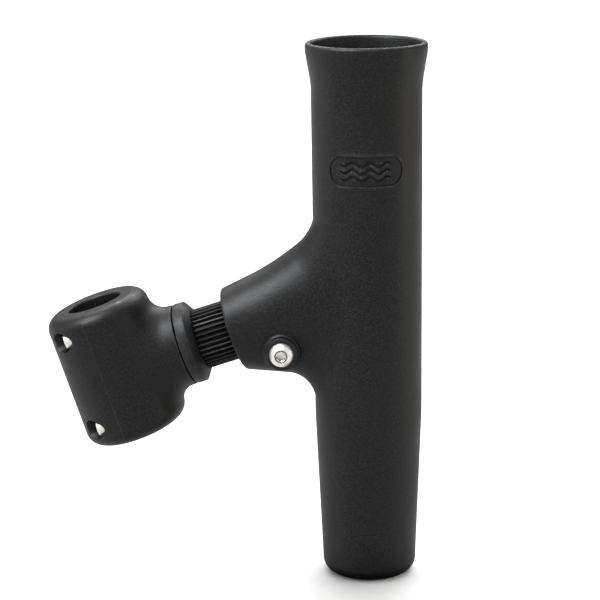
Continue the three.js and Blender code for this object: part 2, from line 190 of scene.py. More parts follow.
def surface_net(field, xs, ys, zs):
    """Points and four-cornered faces of the surface where field is 0, on a grid of the given lines."""
    values = field(xs[:, None, None], ys[None, :, None], zs[None, None, :]).astype(np.float32)
    inside = values < 0
    corners = [inside[i:i - 1 or None, j:j - 1 or None, k:k - 1 or None]
               for i in (0, 1) for j in (0, 1) for k in (0, 1)]
    count = np.sum(corners, axis=0, dtype=np.int8)
    cells = np.argwhere((count > 0) & (count < 8))
    number = np.full(count.shape, -1, np.int32)
    number[tuple(cells.T)] = np.arange(len(cells))

    total = np.zeros((len(cells), 3))
    hits = np.zeros(len(cells))
    lines = (xs, ys, zs)
    for axis in range(3):
        others = [a for a in range(3) if a != axis]
        for first in (0, 1):
            for second in (0, 1):
                start = cells.copy()
                start[:, others[0]] += first
                start[:, others[1]] += second
                end = start.copy()
                end[:, axis] += 1
                a, b = values[tuple(start.T)], values[tuple(end.T)]
                crosses = (a < 0) != (b < 0)
                share = np.where(crosses, a / np.where(crosses, a - b, 1), 0)
                place = np.stack([lines[i][start[:, i]] for i in range(3)], axis=1)
                place[:, axis] += share * (lines[axis][end[:, axis]] - lines[axis][start[:, axis]])
                total += place * crosses[:, None]
                hits += crosses
    points = total / hits[:, None]

    faces = []
    for axis in range(3):
        others = [(axis + 1) % 3, (axis + 2) % 3]
        low = [slice(None)] * 3
        high = [slice(None)] * 3
        low[axis], high[axis] = slice(0, -1), slice(1, None)
        for o in others:
            low[o] = high[o] = slice(1, -1)
        a, b = inside[tuple(low)], inside[tuple(high)]
        edges = np.argwhere(a != b)
        leaving = a[tuple(edges.T)]
        quad = []
        for first, second in ((0, 0), (1, 0), (1, 1), (0, 1)):
            cell = edges.copy()
            cell[:, others[0]] += first
            cell[:, others[1]] += second
            quad.append(number[tuple(cell.T)])
        quad = np.stack(quad, axis=1)
        quad[~leaving] = quad[~leaving][:, ::-1]
        faces.append(quad)
    faces = np.concatenate(faces)

    step = min(np.diff(line).min() for line in lines)
    for _ in range(SETTLING_ROUNDS):
        slope = gradient(field, points)
        distance = field(*points.T) / np.maximum((slope ** 2).sum(axis=1), 0.05)
        points -= slope * np.clip(distance, -step, step)[:, None]
    return points, faces


# ---- meshes ----
def new_mesh(name, points, faces):
    mesh = bpy.data.meshes.new(name)
    mesh.from_pydata((np.asarray(points) * MM).tolist(), [], [list(map(int, f)) for f in faces])
    mesh.update()
    return mesh


def new_object(name, mesh):
    piece = bpy.data.objects.new(name, mesh)
    bpy.context.scene.collection.objects.link(piece)
    return piece


def side_angles(sides):
    return np.arange(sides) * 2 * math.pi / sides


def skin(rows, sides, closed=False):
    """Points and faces of a stack of rings about Z. A row is (radius, height), and either may be an
    array with one number a side. The stack closes on itself, or with a flat at each end."""
    angles = side_angles(sides)
    points = []
    for radius, height in rows:
        radius = np.broadcast_to(radius, sides)
        height = np.broadcast_to(height, sides)
        points.append(np.stack([radius * np.cos(angles), radius * np.sin(angles), height], axis=1))
    points = np.concatenate(points)
    faces = []
    count = len(rows)
    for row in range(count if closed else count - 1):
        below, above = row * sides, (row + 1) % count * sides
        for i in range(sides):
            j = (i + 1) % sides
            faces.append((below + i, below + j, above + j, above + i))
    if not closed:
        faces.append(tuple(range(sides))[::-1])
        faces.append(tuple((count - 1) * sides + i for i in range(sides)))
    return points, faces


def along_x(points):
    """Turns a piece drawn about Z to lie along +X, with its own X towards +Y and its Y towards +Z."""
    return points[:, [2, 0, 1]]


def along_y(points):
    """Turns a piece drawn about Z to lie along +Y."""
    return points[:, [1, 2, 0]]


def hexagon(flats, sides, turn=0.0):
    """Radius of a hexagon, flats across, at each side's angle."""
    sector = math.pi / 3
    within = (side_angles(sides) + turn) % sector - sector / 2
    return flats / 2 / np.cos(within)


def spline_radius(sides, clearance=0.0):
    """Radius of the spline at each side's angle. A clearance makes it the socket round the spline."""
    pitch = 2 * math.pi / SPLINE_TEETH
    from_tooth = np.abs((side_angles(sides) + pitch / 2) % pitch - pitch / 2)
    widened = SOCKET_WIDER_DEGREES if clearance else 0
    degrees = np.degrees(from_tooth) - widened
    rise = np.clip((TOOTH_FOOT_DEGREES - degrees) / TOOTH_FLANK_DEGREES, 0, 1)
    return SPLINE_ROOT_R + clearance + (SPLINE_TIP_R - SPLINE_ROOT_R) * rise


def two_slots(mesh):
    """Empty material slots: 0 for moulded faces and 1 for cut ones."""
    mesh.materials.append(None)
    mesh.materials.append(None)


def cut(piece, points, faces):
    """Cuts a closed solid out of piece. The faces that the cut leaves get material index 1."""
    mesh = new_mesh("cutter", points, faces)
    two_slots(mesh)
    mesh.polygons.foreach_set("material_index", np.ones(len(mesh.polygons), np.int32))
    cutter = new_object("cutter", mesh)
    modifier = piece.modifiers.new("cut", "BOOLEAN")
    modifier.operation = "DIFFERENCE"
    modifier.solver = "MANIFOLD"
    modifier.object = cutter
    modifier.material_mode = "INDEX"
    graph = bpy.context.evaluated_depsgraph_get()
    result = bpy.data.meshes.new_from_object(piece.evaluated_get(graph))
    piece.modifiers.clear()
    old = piece.data
    piece.data = result
    bpy.data.meshes.remove(old)
    bpy.data.objects.remove(cutter)
    bpy.data.meshes.remove(mesh)


def shade(mesh, angle=32):
    mesh.polygons.foreach_set("use_smooth", np.ones(len(mesh.polygons), bool))
    mesh.set_sharp_from_angle(angle=math.radians(angle))


def field_normals(piece, field):
    """Gives the moulded faces, material index 0, the exact normals of their field."""
    mesh = piece.data
    shade(mesh)
    loops = len(mesh.loops)
    normals = np.empty(loops * 3)
    mesh.corner_normals.foreach_get("vector", normals)
    normals = normals.reshape(-1, 3)
    vertex_of = np.empty(loops, np.int32)
    mesh.loops.foreach_get("vertex_index", vertex_of)
    slots = np.empty(len(mesh.polygons), np.int32)
    sizes = np.empty(len(mesh.polygons), np.int32)
    mesh.polygons.foreach_get("material_index", slots)
    mesh.polygons.foreach_get("loop_total", sizes)
    moulded = np.repeat(slots == 0, sizes)
    points = np.empty(len(mesh.vertices) * 3)
    mesh.vertices.foreach_get("co", points)
    points = points.reshape(-1, 3) / MM
    slope = gradient(field, points)
    slope /= np.maximum(np.linalg.norm(slope, axis=1), 1e-9)[:, None]
    normals[moulded] = slope[vertex_of[moulded]]
    mesh.normals_split_custom_set(normals.tolist())
    mesh.polygons.foreach_set("material_index", np.zeros(len(mesh.polygons), np.int32))


def box_skin(low, high):
    corners = [(x, y, z) for x in (low[0], high[0]) for y in (low[1], high[1]) for z in (low[2], high[2])]
    faces = [(0, 1, 3, 2), (4, 6, 7, 5), (0, 4, 5, 1), (2, 3, 7, 6), (0, 2, 6, 4), (1, 5, 7, 3)]
    return np.array(corners, float), faces


def moulded(name, field, xs, ys, zs):
    """A moulding whose outside is where field is 0, ready for its cuts."""
    points, faces = surface_net(field, xs, ys, zs)
    mesh = new_mesh(name, points, faces)
    two_slots(mesh)
    return new_object(name, mesh)


def drill(piece, radius, start, end, y=0.0, z=0.0, sides=48):
    """Drills a hole along X from start to end."""
    points, faces = skin([(radius, start), (radius, end)], sides)
    cut(piece, along_x(points) + np.array([0, y, z]), faces)


# ---- rod tube and arm ----
def tube_outer_radius(height):
    """Outer radius of the tube at a height above its foot: two drafts, then the flared mouth."""
    radius = TUBE_FOOT_R + LOWER_DRAFT * height
    radius -= (LOWER_DRAFT - UPPER_DRAFT) * soft_step(height - BEND_H, 1.5)
    radius += (FLARE_DRAFT - UPPER_DRAFT) * soft_step(height - FLARE_H, 1.2)
    radius -= FLARE_DRAFT * soft_step(height - LIP_H, 0.5)
    return np.minimum(radius, LIP_R)


def tube_field(x, y, z):
    height = z - FOOT_Z
    wall = np.hypot(x - TUBE_X, y) - tube_outer_radius(height)
    with_lip = both(wall, height - TUBE_LENGTH, LIP_ROUND)
    return both(with_lip, -height, FOOT_ROUND)


ARM_START_X = 50.9
ARM_START_Z = 37.4  # height of the arm's back where it starts
ARM_HALF_WIDTH = 19.9
ARM_CURVE_X = 62  # where the arm's back begins to sweep up to the tube
ARM_MOUTH_ROUND = 1.3


def arm_top(x):
    past = np.maximum(x - ARM_CURVE_X, 0)
    return ARM_START_Z + 0.5 * (x - ARM_START_X) + 0.0068 * past * past


def arm_bottom(x):
    return -1 - 0.084 * (x - 62.6)


def arm_section(x, z):
    """How high a place is above the middle of the arm's upright elliptical section there, and the
    section's half width and half height."""
    x_held = np.clip(x, 40, 100)
    top, bottom = arm_top(x_held), arm_bottom(x_held)
    half_width = ARM_HALF_WIDTH + 0.03 * (x_held - ARM_START_X)
    return z - (top + bottom) / 2, half_width, (top - bottom) / 2


def arm_sideways(x, y, z):
    """How squarely the arm's surface faces sideways: 1 on its flanks and 0 on its back and belly."""
    up, half_width, half_height = arm_section(x, z)
    y_slope, z_slope = np.abs(y) / half_width ** 2, up / half_height ** 2
    return y_slope / np.maximum(np.hypot(y_slope, z_slope), 1e-4)


def arm_field(x, y, z):
    """An arm of upright elliptical sections, cut square to the stem's axis at its mouth."""
    up, half_width, half_height = arm_section(x, z)
    body = ellipse(y, up, half_width, half_height)
    along, _ = to_tilted(x, z)
    return both(np.maximum(body, x - TUBE_X), MOUTH_X - along, ARM_MOUTH_ROUND)


def rod_tube_field(x, y, z):
    """Tube, arm and bosses in one. The fillet round the arm's root is smaller on its back than on its
    belly and grows towards the sides. It fades where tube and arm run alongside each other, so that it
    doesn't bulge there."""
    alongside = np.abs(y) / np.maximum(np.hypot(x - TUBE_X, y), 1) * arm_sideways(x, y, z)
    level = 7.5 - 2.2 * np.tanh((z - 20) / 15)
    fillet = (level + 0.6 * np.minimum(np.abs(y), 25)) * (1.02 - alongside)
    shape = either(tube_field(x, y, z), arm_field(x, y, z), fillet)
    boss = both(np.hypot(x - BOLT_X, z - BOLT_Z) - BOSS_R, np.abs(y) - BOSS_HALF_WIDTH, BOSS_ROUND)
    return either(shape, boss, BOSS_FILLET)


LIP_INSIDE_R = 26.4  # where the rounded inside of the lip would meet the rim
LIP_INSIDE_ROUND = 1.75


def cavity_skin(sides=160):
    """The hollow of the tube, with its drain hole below and the inside of the lip above."""
    rows = [(DRAIN_R, -3), (DRAIN_R, TUBE_FLOOR)]
    for step in range(5):
        turn = math.radians(22.5 * step)
        rows.append((16.8 + 1.6 * math.sin(turn), TUBE_FLOOR + 1.6 * (1 - math.cos(turn))))
    rows += [(18.8, TUBE_FLOOR + 4), (21.4, BEND_H), (21.9, 223), (22.1, FLARE_H)]
    rows += [(22.6, FLARE_H + 4), (24.4, LIP_H + 1)]
    for step in range(1, 7):
        turn = math.radians(15 * step)
        in_by = LIP_INSIDE_ROUND * math.cos(turn)
        down_by = LIP_INSIDE_ROUND * (1 - math.sin(turn))
        rows.append((LIP_INSIDE_R - in_by, TUBE_LENGTH - down_by))
    rows.append((LIP_INSIDE_R, TUBE_LENGTH + 5))
    points, faces = skin(rows, sides)
    return points + np.array([TUBE_X, 0, FOOT_Z]), faces


EMBLEM_H = 196.5
EMBLEM_HALF_LENGTH = 17.7
EMBLEM_HALF_HEIGHT = 6.75
EMBLEM_DEPTH = 0.4
WAVE_HALF_LENGTH = 12
WAVE_SPACING = 3.2
WAVE_SWING = 0.9
WAVE_LENGTH = 8
WAVE_EXTRA_DEPTH = 0.5


def groove_skin(places, middle, half, depth):
    """A cutter on the tube's front for a groove of the given depth. It runs round the tube through
    places, in millimetres from the middle, where it is 2 * half high about the height middle."""
    points = []
    for place, centre, reach in zip(places, middle, half):
        for height, proud in ((-reach, 0), (reach, 0), (reach, 1), (-reach, 1)):
            level = EMBLEM_H + centre + height
            surface = float(tube_outer_radius(np.float64(level)))
            radius = surface + 1 if proud else surface - depth
            angle = place / surface - math.pi / 2
            points.append((TUBE_X + radius * math.cos(angle), radius * math.sin(angle), level + FOOT_Z))
    faces = [(3, 2, 1, 0)]
    for row in range(len(places) - 1):
        a, b = 4 * row, 4 * (row + 1)
        faces += [(a + i, a + (i + 1) % 4, b + (i + 1) % 4, b + i) for i in range(4)]
    last = 4 * (len(places) - 1)
    faces.append((last, last + 1, last + 2, last + 3))
    return np.array(points), faces


def pill_places(half_length, half_height):
    """Places along a pill outline, close together round its ends, and its half height at each."""
    turn = np.radians(np.linspace(4, 90, 14))
    ends = half_length - half_height + half_height * np.cos(turn)
    reach = half_height * np.sin(turn)
    places = np.concatenate([-ends, np.linspace(-1, 1, 21)[1:-1] * ends[-1], ends[::-1]])
    return places, np.concatenate([reach, np.full(19, half_height), reach[::-1]])


def rod_tube():
    # the grid is finer at the bosses, the mouth and the lip, and coarser on the plain tube
    xs = spaced((47, 69, 0.8), (69, 89, 0.5), (89, 147, 0.8))
    ys = spaced((-29, -22.5, 0.8), (-22.5, -19.5, 0.4), (-19.5, 19.5, 0.8), (19.5, 22.5, 0.4),
                (22.5, 29, 0.8))
    zs = FOOT_Z + spaced((-1.5, 8, 0.7), (8, 83, 2.4), (83, 102, 0.8), (102, 122, 0.5), (122, 180, 0.8),
                         (180, 230, 2.4), (230, 242, 1.2), (242, 254, 0.6))
    piece = moulded("rod_tube_moulding", rod_tube_field, xs, ys, zs)
    cut(piece, *cavity_skin())

    sides = SPLINE_TEETH * 8
    teeth = spline_radius(sides, SPLINE_CLEARANCE)
    lead = np.maximum(teeth, SPLINE_TIP_R + SPLINE_CLEARANCE)
    rows = [(lead + 2.2, MOUTH_X - 1), (lead + 1.0, MOUTH_X + 0.1), (teeth, MOUTH_X + 1.6),
            (teeth, SOCKET_END_X)]
    points, faces = skin(rows, sides)
    cut(piece, tilted(along_x(points)), faces)

    points, faces = skin([(BOLT_R + GAP, -30), (BOLT_R + GAP, 30)], 48)
    cut(piece, along_y(points) + np.array([BOLT_X, 0, BOLT_Z]), faces)
    pocket = hexagon(NUT_FLATS + 2 * GAP, 6 * 8, turn=-TILT)
    points, faces = skin([(pocket, NUT_SEAT_Y), (pocket, 30)], 6 * 8)
    cut(piece, along_y(points) + np.array([BOLT_X, 0, BOLT_Z]), faces)

    places, reach = pill_places(EMBLEM_HALF_LENGTH, EMBLEM_HALF_HEIGHT)
    cut(piece, *groove_skin(places, np.zeros(len(places)), reach, EMBLEM_DEPTH))
    for line in (-1, 0, 1):
        places = np.linspace(-WAVE_HALF_LENGTH, WAVE_HALF_LENGTH, 65)
        wave = WAVE_SPACING * line + WAVE_SWING * np.sin(places * 2 * math.pi / WAVE_LENGTH)
        reach = 0.08 + 0.72 * np.sqrt(np.maximum(1 - (places / WAVE_HALF_LENGTH) ** 2, 0))
        cut(piece, *groove_skin(places, wave, reach, EMBLEM_DEPTH + WAVE_EXTRA_DEPTH))
    field_normals(piece, rod_tube_field)
    return piece


# ---- stem ----
STEM_START_X = NECK_END_X + GAP
STEM_KEY = 17
STEM_KEY_DEPTH = 6
SHOULDER_X = 39.2
COLLAR_END_X = 42.2
COLLAR_TIP_R = 14.7
STEM_END_X = 87
STEM_CORE_R = 6.9
STEM_NUT_X = 50
STEM_BOLT_R = 3.175


def stem():
    sides = SPLINE_TEETH * 12
    teeth = spline_radius(sides)
    angles = side_angles(sides)
    key = np.minimum(STEM_KEY / 2 / np.maximum(np.abs(np.cos(angles)), np.abs(np.sin(angles))), 11.4)
    groove_x, groove_drop = to_tilted(BOLT_X, BOLT_Z)
    groove_half = BOLT_R + 0.5
    groove_r = -groove_drop - BOLT_R - 0.4
    nut = hexagon(NUT_FLATS + 2 * GAP, sides, turn=math.pi / 6)
    start = STEM_START_X
    rows = [(key - 0.5, start - STEM_KEY_DEPTH), (key, start - STEM_KEY_DEPTH + 0.5), (key, start)]
    rows += [(NECK_R - 0.7, start), (NECK_R - 0.2, start + 0.2), (NECK_R, start + 0.7)]
    rows += [(NECK_R, SHOULDER_X - 0.6), (NECK_R - 0.1, SHOULDER_X - 0.1)]
    rows += [(NECK_R - 0.5, SHOULDER_X + 0.35)]
    rows += [(COLLAR_TIP_R + 0.5, COLLAR_END_X - 0.25), (COLLAR_TIP_R + 0.1, COLLAR_END_X - 0.1)]
    rows += [(teeth + 0.15, COLLAR_END_X + 0.05), (teeth, COLLAR_END_X + 0.4)]
    rows += [(teeth, x) for x in np.linspace(COLLAR_END_X + 4, groove_x - groove_half, 8)]
    rows += [(groove_r, groove_x - groove_half), (groove_r, groove_x + groove_half)]
    rows += [(teeth, groove_x + groove_half), (teeth, STEM_END_X - 1.6)]
    rows += [(np.minimum(teeth, 12.7) - 0.7, STEM_END_X), (STEM_CORE_R + 0.4, STEM_END_X)]
    rows += [(STEM_CORE_R, STEM_END_X - 0.4), (STEM_CORE_R, STEM_NUT_X + 7.5)]
    rows += [(nut, STEM_NUT_X + 7), (nut, STEM_NUT_X), (STEM_BOLT_R + GAP, STEM_NUT_X)]
    rows += [(STEM_BOLT_R + GAP, start - STEM_KEY_DEPTH)]
    points, faces = skin(rows, sides, closed=True)
    mesh = new_mesh("stem_moulding", tilted(along_x(points)), faces)
    shade(mesh, 28)
    return new_object("stem_moulding", mesh)


# ---- rail clamp ----
def clamp_block_field(x, y, z):
    """The clamp as one block: an oval about the rail bore, well rounded above and below."""
    plan = ellipse(x, y, CLAMP_HALF_DEPTH, CLAMP_HALF_WIDTH)
    return both(both(plan, z - CLAMP_TOP, CLAMP_TOP_ROUND), CLAMP_BOTTOM - z, CLAMP_BOTTOM_ROUND)


def clamp_body_field(x, y, z):
    neck = both(np.hypot(y, z) - NECK_R, x - NECK_END_X, NECK_ROUND)
    return either(clamp_block_field(x, y, z), np.maximum(neck, -x), NECK_FILLET)


def rail_bore_skin(sides=128):
    """The rail bore, its edges broken top and bottom."""
    rows = []
    for end, outward in ((CLAMP_BOTTOM, -1), (CLAMP_TOP, 1)):
        edge = [(3.5, 3), (0.5, 0), (0.1, -0.4), (0, -0.8)]
        rows += [(RAIL_BORE_R + wider, end + outward * out) for wider, out in edge[::-outward]]
    return skin(rows, sides)


def screw_places():
    """The cap screws' axes in the tilted frame, as (y, z), read from their washers."""
    places = []
    for number in range(1, 5):
        low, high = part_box(f"cap_washer_{number}")
        middle = (low + high) / 2 / MM
        places.append((middle.y, to_tilted(middle.x, middle.z)[1]))
    return places


SCREW_R = 2
SCREW_SEAT_X = -8.8
COUNTERBORE_R = 4.85
INSERT_R = 3
INSERT_LENGTH = 9
SCREW_POCKET_END_X = 7.2
STEM_WASHER_R = 5.7
STEM_BOLT_SEAT_X = 19.9


def turn_into_place(piece):
    """Turns a piece drawn in the tilted frame, and its normals, into the part's frame."""
    piece.data.transform(Matrix.Rotation(-TILT, 4, "Y"))


CLAMP_STEP = 0.6
CLAMP_SURROUND = 50  # past every face of the clamp


def clamp_moulding(name, field, start_x, stop_x):
    """A half of the clamp with its rail bore, on a grid from start_x to stop_x along the stem's axis."""
    xs = spaced((start_x, stop_x, CLAMP_STEP))
    ys = spaced((-29.4, 29.4, CLAMP_STEP))
    zs = spaced((-33, 33.6, CLAMP_STEP))
    piece = moulded(name, field, xs, ys, zs)
    cut(piece, *rail_bore_skin())
    return piece


def clamp_side(start_x, stop_x):
    """A cutter for all of the clamp between two places along the stem's axis."""
    return box_skin((start_x, -CLAMP_SURROUND, -CLAMP_SURROUND), (stop_x, CLAMP_SURROUND, CLAMP_SURROUND))


def clamp_body():
    def held_back(x, y, z):
        return np.maximum(clamp_body_field(x, y, z), PARTING_X - 2 - x)

    piece = clamp_moulding("clamp_body_moulding", held_back, -6.2, 35.2)
    cut(piece, *clamp_side(-CLAMP_SURROUND, PARTING_X + PARTING_GAP / 2))
    drill(piece, STEM_WASHER_R + GAP, 0, STEM_BOLT_SEAT_X)
    drill(piece, STEM_BOLT_R + GAP, 15, 40)
    half = STEM_KEY / 2 + GAP
    cut(piece, *box_skin((NECK_END_X - STEM_KEY_DEPTH - GAP, -half, -half), (40, half, half)))
    for y, z in screw_places():
        drill(piece, INSERT_R + GAP, PARTING_X - 1, SCREW_POCKET_END_X, y, z)
    field_normals(piece, clamp_body_field)
    turn_into_place(piece)
    return piece


def clamp_cap():
    def held_back(x, y, z):
        return np.maximum(clamp_block_field(x, y, z), x - PARTING_X - 2)

    piece = clamp_moulding("clamp_cap_moulding", held_back, -25.4, 1.6)
    cut(piece, *clamp_side(PARTING_X - PARTING_GAP / 2, CLAMP_SURROUND))
    for y, z in screw_places():
        drill(piece, SCREW_R + GAP, -30, 0, y, z)
        drill(piece, COUNTERBORE_R, -30, SCREW_SEAT_X, y, z, 64)
    field_normals(piece, clamp_block_field)
    turn_into_place(piece)
    return piece


# ---- fasteners: drawn about Z with the head's seat at 0 and the shank running down ----
FASTENER_SIDES = 72


def thread_rows(radius, depth, pitch, bottom, top):
    """Rows of a right-hand thread from bottom up to top. It fades out over a turn at either end."""
    share_of_turn = side_angles(FASTENER_SIDES) / (2 * math.pi)
    rows = []
    for height in np.arange(bottom, top, pitch / 8):
        phase = (height / pitch - share_of_turn) % 1
        valley = np.clip((2 * np.abs(phase - 0.5) - 0.15) / 0.7, 0, 1)
        fade = np.clip(min(height - bottom, top - height) / pitch, 0, 1)
        rows.append((radius - depth * fade * valley, height))
    return rows


def lathe(name, rows, closed=False, angle=28):
    points, faces = skin(rows, FASTENER_SIDES, closed)
    mesh = new_mesh(name, points, faces)
    shade(mesh, angle)
    return new_object(name, mesh)


def shank_rows(radius, length, pitch, threaded):
    rows = [(radius - 0.75, -length), (radius - 0.62, -length + 0.1), (radius - 0.1, -length + 0.7)]
    rows += thread_rows(radius, 0.6 * pitch, pitch, -length + 0.8, -length + threaded)
    return rows + [(radius, -0.5), (radius + 0.05, -0.2), (radius + 0.2, 0)]


def socket_rows(flats, face, depth):
    """The hexagon socket in a head whose face is at that height, with a drilled cone at its end."""
    key = hexagon(flats, FASTENER_SIDES)
    round_edge = np.maximum(key, flats / 2 + 0.35)
    return [(round_edge, face), (key, face - 0.3), (key, face - depth), (flats / 2 - 0.15, face - depth),
            (0.3, face - depth - 0.5)]


def socket_screw(name, radius, length, pitch, head_r, head_height, key):
    """A knurled cylinder head, threaded almost up to it."""
    knurl = 0.09 * (np.arange(FASTENER_SIDES) % 2)
    rows = shank_rows(radius, length, pitch, length - 1)
    rows += [(head_r - 0.25, 0), (head_r - 0.05, 0.15), (head_r - knurl, 0.4)]
    rows += [(head_r - knurl, head_height - 0.9), (head_r, head_height - 0.75), (head_r, head_height - 0.4)]
    rows += [(head_r - 0.1, head_height - 0.15), (head_r - 0.35, head_height)]
    return lathe(name, rows + socket_rows(key, head_height, key * 0.7))


def button_bolt(name, radius, length, pitch, head_r, head_height, key):
    """A domed button head with a groove round its face."""
    face_r = 0.56 * head_r
    rows = shank_rows(radius, length, pitch, 0.6 * length)
    rows += [(head_r - 0.2, 0), (head_r - 0.03, 0.12), (head_r, 0.3), (head_r, 0.6)]
    for step in range(1, 9):
        turn = math.radians(8.5 * step)
        out, up = math.cos(turn), math.sin(turn) / math.sin(math.radians(68))
        rows.append((face_r + (head_r - face_r) * (out - 0.375) / 0.625, 0.6 + (head_height - 0.7) * up))
    groove = head_height - 0.5
    face = head_height - 0.15
    rows += [(face_r - 0.05, head_height), (face_r - 0.15, groove)]
    rows += [(face_r - 0.6, groove), (face_r - 0.7, face)]
    return lathe(name, rows + socket_rows(key, face, 2.2))


def ring(name, outer_r, inner_r, thickness, edge=0.2):
    """A flat ring from 0 up to its thickness, with rounded edges."""
    rows = []
    for corner in range(4):
        outside, above = corner in (1, 2), corner in (2, 3)
        middle_r = outer_r - edge if outside else inner_r + edge
        middle_z = thickness - edge if above else edge
        for step in range(4):
            turn = math.radians(180 + 90 * corner + 30 * step)
            rows.append((middle_r + edge * math.cos(turn), middle_z + edge * math.sin(turn)))
    return lathe(name, rows, closed=True, angle=35)


def hex_nut(name, flats, inner_r, pitch, height):
    """A nut from 0 up to its height, chamfered top and bottom, threaded through."""
    corner_r = flats / math.sqrt(3)
    face_r = flats / 2 - 0.15
    blank = hexagon(flats, FASTENER_SIDES)
    rows = []
    for step in range(7):
        rise = step / 6
        rows.append((np.minimum(blank, face_r + rise * (corner_r - face_r)), rise * 0.55))
    rows += [(r, height - z) for r, z in rows[::-1]]
    rows += [(inner_r + 0.45, height), (inner_r, height - 0.5)]
    rows += thread_rows(inner_r + 0.01, -0.4, pitch, 0.6, height - 0.6)[::-1]
    return lathe(name, rows + [(inner_r, 0.5), (inner_r + 0.45, 0)], closed=True)


def threaded_insert(name, outer_r, inner_r, pitch, length):
    """A pressed-in insert: two knurled bands either side of a groove, threaded through."""
    slant = np.arange(FASTENER_SIDES) % 3
    rows = [(outer_r - 0.45, 0), (outer_r - 0.2, 0.3)]
    for start, lean in ((0.5, 1), (length / 2 + 0.5, -1)):
        for step in range(13):
            share = step / 12
            ridge = (slant + lean * step) % 3 == 0
            fade = min(1, 8 * share, 8 * (1 - share))
            rows.append((outer_r - 0.25 + 0.25 * fade * ridge, start + share * (length / 2 - 1)))
        rows.append((outer_r - 0.5, start + length / 2 - 0.9))
        rows.append((outer_r - 0.5, start + length / 2 - 0.6))
    rows = [(r, min(z, length - 0.3)) for r, z in rows[:-2]] + [(outer_r - 0.2, length - 0.2)]
    rows += [(outer_r - 0.4, length), (inner_r + 0.35, length), (inner_r, length - 0.35)]
    rows += thread_rows(inner_r + 0.01, -0.3, pitch, 0.5, length - 0.5)[::-1]
    return lathe(name, rows + [(inner_r, 0.35), (inner_r + 0.35, 0)], closed=True)


def on_stem(piece, x, y=0.0, z=0.0):
    """Lays a fastener parallel to the stem's axis, its head's seat at x and its head towards the cap."""
    turn = Matrix.Rotation(-TILT, 4, "Y")
    place = Matrix.Translation(Vector((x, y, z)) * MM)
    piece.matrix_world = turn @ place @ Matrix.Rotation(-math.pi / 2, 4, "Y")


def across(piece, y):
    """Lays a fastener on the cross bolt's axis, its head's seat at y and its head towards -Y."""
    place = Matrix.Translation(Vector((BOLT_X, y, BOLT_Z)) * MM)
    piece.matrix_world = place @ Matrix.Rotation(-TILT, 4, "Y") @ Matrix.Rotation(math.pi / 2, 4, "X")


# ---- materials ----
def node(tree, kind, inputs=None, output=0, **settings):
    """Adds a shader node and returns one of its outputs. An input is a value or another node's output."""
    made = tree.nodes.new("ShaderNode" + kind)
    for name, value in settings.items():
        setattr(made, name, value)
    for key, value in (inputs or {}).items():
        if isinstance(value, bpy.types.NodeSocket):
            tree.links.new(value, made.inputs[key])
        else:
            made.inputs[key].default_value = value
    return made.outputs[output]


def new_material(name):
    material = bpy.data.materials.new(name)
    material.use_nodes = True
    tree = material.node_tree
    return material, tree, tree.nodes["Principled BSDF"].inputs


def noise(tree, size, detail=3.0):
    """Noise whose lumps are about that many millimetres across, fixed to the piece."""
    place = node(tree, "TexCoord", output="Object")
    return node(tree, "TexNoise", {"Vector": place, "Scale": 1 / (size * MM), "Detail": detail})


def remap(tree, value, from_low, from_high, to_low, to_high):
    return node(tree, "MapRange", {"Value": value, "From Min": from_low, "From Max": from_high,
                                   "To Min": to_low, "To Max": to_high})


def mix_colours(tree, share, a, b):
    """A colour from a to b. Each is three numbers or another node's output."""
    first, second = (c if isinstance(c, bpy.types.NodeSocket) else (*c, 1) for c in (a, b))
    return node(tree, "Mix", {0: share, 6: first, 7: second}, output=2, data_type="RGBA")


def times(tree, a, b):
    return node(tree, "Math", {0: a, 1: b}, operation="MULTIPLY")


def plus(tree, a, b):
    return node(tree, "Math", {0: a, 1: b}, operation="ADD")


def bumps(tree, layers):
    """A normal from (height, how deep in millimetres) layers."""
    normal = None
    for height, depth in layers:
        inputs = {"Height": height, "Distance": depth * MM, "Strength": 1.0}
        if normal:
            inputs["Normal"] = normal
        normal = node(tree, "Bump", inputs)
    return normal


def patches(tree, size):
    """0 to 1 in soft patches about that many millimetres across."""
    return remap(tree, noise(tree, size), 0.35, 0.65, 0, 1)


def edge_wear_and_highlight(tree, from_low, from_high):
    """1 on edges that stick out, broken up by noise, and 0 elsewhere."""
    pointiness = node(tree, "NewGeometry", output="Pointiness")
    edges = remap(tree, pointiness, from_low, from_high, 0, 1)
    return times(tree, edges, remap(tree, noise(tree, 3), 0.35, 0.65, 0.3, 1))


NYLON_DARK = (0.0016, 0.0016, 0.0016)
NYLON_PALE = (0.003, 0.0029, 0.0028)
NYLON_FLECK = (0.0098, 0.0095, 0.0092)
# pale edge colour, partly real wear and partly a painted highlight
NYLON_WORN_AND_HIGHLIGHT = (0.06, 0.06, 0.062)
# painted shade: the near black that holes, grooves and creases are darkened to
NYLON_PAINTED_SHADE = (0.0008, 0.0008, 0.0008)


